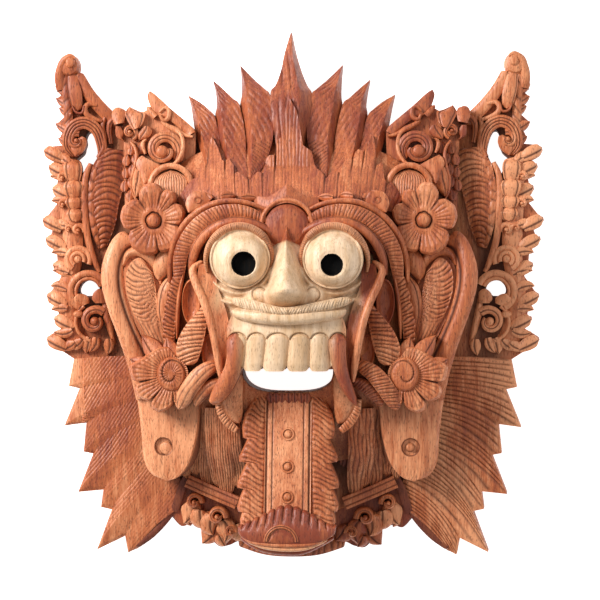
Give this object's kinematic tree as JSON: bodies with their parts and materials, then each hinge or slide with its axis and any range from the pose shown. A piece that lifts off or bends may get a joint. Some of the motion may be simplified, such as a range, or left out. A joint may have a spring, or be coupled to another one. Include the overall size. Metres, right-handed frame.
{
  "type": "witch mask",
  "caption": "Carved wooden witch mask with round eyes, fangs, a long hanging tongue, a spiked crown, long ears and openwork side wings, hollow behind the face.",
  "frame": {"origin": "on the floor under the middle of the whole mask, which lies on its flat back", "axes": "+Z out of the face and up, +Y towards the top of the crown, +X towards the wing on the viewer's right"},
  "size_m": [0.4182, 0.4326, 0.14],
  "materials": {
    "carved_wood": "red-brown heartwood with a satin lacquer; eyes, nose, lips and teeth lie in the block's cream sapwood, and the pupils are stained black"
  },
  "bodies": {
    "root": {"mask": "carved_wood", "left_wing": "carved_wood", "right_wing": "carved_wood"}
  },
  "joints": []
}
